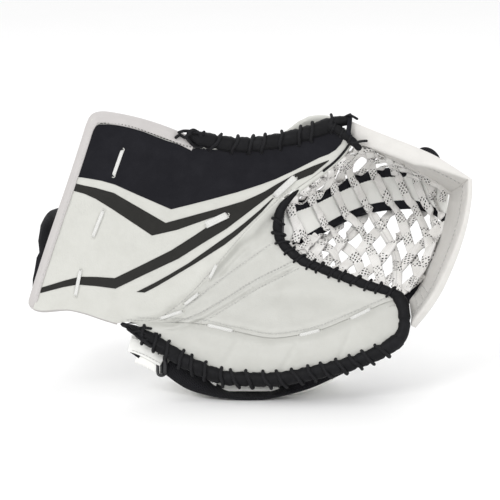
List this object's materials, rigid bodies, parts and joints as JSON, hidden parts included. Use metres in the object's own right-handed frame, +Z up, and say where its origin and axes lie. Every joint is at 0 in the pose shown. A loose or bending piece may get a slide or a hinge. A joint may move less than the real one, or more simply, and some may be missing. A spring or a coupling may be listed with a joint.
{
  "type": "goalie catch glove",
  "caption": "Ice hockey goalie catch glove with a flared cuff, padded fingers and thumb, laced edge rolls, and a netted pocket inside a padded band.",
  "frame": {"origin": "middle of the bottom of the bounding box, on the surface that the glove stands on", "axes": "+X from the cuff to the pocket, +Y from the palm side to the back of the hand, +Z up from the little-finger edge to the thumb"},
  "size_m": [0.44, 0.16, 0.2886],
  "materials": {
    "white_leather": "semi-matt pebbled synthetic leather",
    "black_leather": "semi-matt synthetic leather",
    "black_nylon": "woven nylon",
    "black_cord": "braided lace",
    "white_lace": "flat woven lace with dark tracer threads",
    "grey_felt": "soft napped lining",
    "foam_board": "closed-cell foam on a stiff board",
    "black_plastic": "moulded nylon"
  },
  "bodies": {
    "finger_side": {"palm_face": "white_leather", "palm_lining": "grey_felt", "finger_panel": "white_leather", "pocket_edge_roll": "black_leather", "pocket_edge_lacing": "black_cord", "finger_edge_roll": "black_leather", "finger_edge_lacing": "black_cord", "finger_tip_roll": "black_leather", "backhand_pad": "white_leather", "finger_back_roll_1": "black_nylon", "finger_back_roll_2": "black_nylon", "finger_back_roll_3": "black_nylon", "finger_divider_1": "grey_felt", "finger_divider_2": "grey_felt", "finger_divider_3": "grey_felt", "little_finger_gusset": "black_nylon", "finger_tip_gusset": "black_nylon", "little_finger_edge_pad": "white_leather", "edge_strap": "black_nylon", "heel_tab": "white_leather", "band_finger_side": "white_leather", "pocket_lace_1": "white_lace", "pocket_lace_2": "white_lace", "pocket_lace_3": "white_lace", "pocket_lace_4": "white_lace", "pocket_lace_5": "white_lace", "pocket_lace_6": "white_lace", "cross_lace_low_1": "white_lace", "cross_lace_low_2": "white_lace", "cross_lace_low_3": "white_lace", "cross_lace_high_1": "white_lace", "cross_lace_high_2": "white_lace", "cross_lace_high_3": "white_lace"},
    "spine": {"pocket_spine": "white_leather", "spine_binding_upper": "black_leather", "spine_binding_lower": "black_leather"},
    "thumb_side": {"cuff_and_thumb_face": "white_leather", "cuff_board": "foam_board", "cuff_lining": "black_nylon", "cuff_rim_wrap": "white_leather", "graphic_panel": "black_leather", "stripe_upper": "black_leather", "stripe_middle": "black_leather", "stripe_lower": "black_leather", "thumb_edge_roll": "black_leather", "thumb_edge_lacing": "black_cord", "thumb_pocket_binding": "black_leather", "thumb_guard": "white_leather", "thumb_stall_gusset": "black_nylon", "band_thumb_side": "white_leather", "band_pull_tab": "black_nylon", "wrist_wrap": "black_nylon", "wrist_wrap_lower": "black_nylon"},
    "wrist_flap": {"wrist_strap_flap": "black_nylon"},
    "slide_buckle": {"slide_buckle": "black_plastic"}
  },
  "joints": [
    {"name": "close", "type": "hinge", "parent": "finger_side", "child": "thumb_side", "pos_m": [-0.11802, -0.05412, 0.07753], "axis": [0.9191, 0.0117, 0.3939], "range_deg": [0, 50], "stiffness_Nm_per_rad": 5, "deforming": ["pocket_lace_1", "pocket_lace_2", "pocket_lace_3", "pocket_lace_4", "pocket_lace_5", "pocket_lace_6", "cross_lace_low_1", "cross_lace_low_2", "cross_lace_low_3", "cross_lace_high_1", "cross_lace_high_2", "cross_lace_high_3"]},
    {"name": "spine_fold", "type": "hinge", "parent": "finger_side", "child": "spine", "pos_m": [-0.11802, -0.05412, 0.07753], "axis": [0.9191, 0.0117, 0.3939], "range_deg": [0, 25]},
    {"name": "wrist_flap_open", "type": "hinge", "parent": "thumb_side", "child": "wrist_flap", "pos_m": [-0.18702, -0.01513, 0.10071], "axis": [-1, 0, 0], "range_deg": [0, 100]},
    {"name": "buckle_lift", "type": "hinge", "parent": "finger_side", "child": "slide_buckle", "pos_m": [-0.09302, -0.0506, 0.0364], "axis": [0, -0.2079, -0.9781], "range_deg": [0, 35]}
  ],
  "couplings": [
    {"joint": "spine_fold", "follows": "close", "ratio": 0.5}
  ]
}
